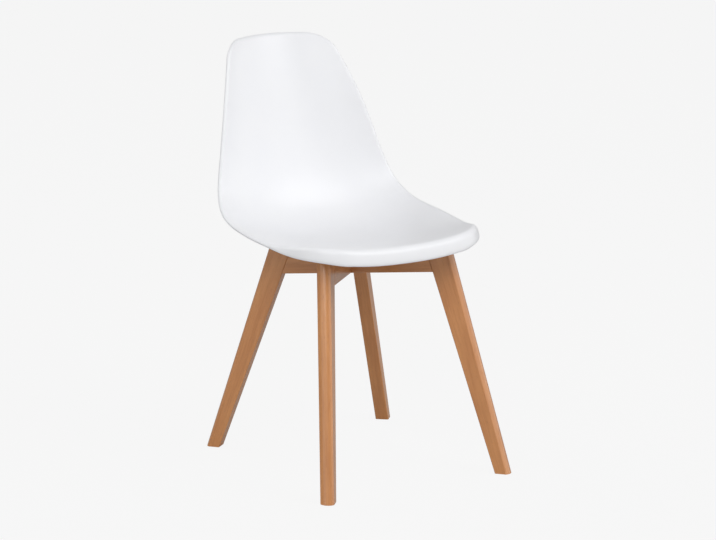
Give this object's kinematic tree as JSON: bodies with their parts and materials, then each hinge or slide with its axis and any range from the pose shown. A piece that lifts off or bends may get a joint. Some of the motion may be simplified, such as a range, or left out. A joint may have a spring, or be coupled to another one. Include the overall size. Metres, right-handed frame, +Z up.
{
  "type": "shell chair",
  "caption": "White moulded plastic shell chair with a rolled rim and a turned-down front, on raked crossed beech rails with tapered splayed legs.",
  "frame": {"origin": "middle of the whole chair's bounding box, at floor level", "axes": "+Z up; the sitter faces -Y; +X is to the right as seen from the front"},
  "size_m": [0.4532, 0.6082, 0.8158],
  "materials": {
    "shell_plastic": "satin moulded polypropylene",
    "beech": "stained and lacquered beech",
    "dowel_beech": "raw fluted beech",
    "zinc_steel": "zinc-plated steel",
    "insert_brass": "turned brass",
    "glide_plastic": "translucent polyethylene"
  },
  "bodies": {
    "root": {"seat_shell": "shell_plastic", "cross_rail_a": "beech", "cross_rail_b": "beech", "leg_front_left": "beech", "leg_front_right": "beech", "leg_rear_left": "beech", "leg_rear_right": "beech", "leg_dowels": "dowel_beech", "lap_screw": "zinc_steel", "seat_bolts": "zinc_steel", "bolt_washers": "zinc_steel", "threaded_inserts": "insert_brass", "foot_glides": "glide_plastic"}
  },
  "joints": []
}
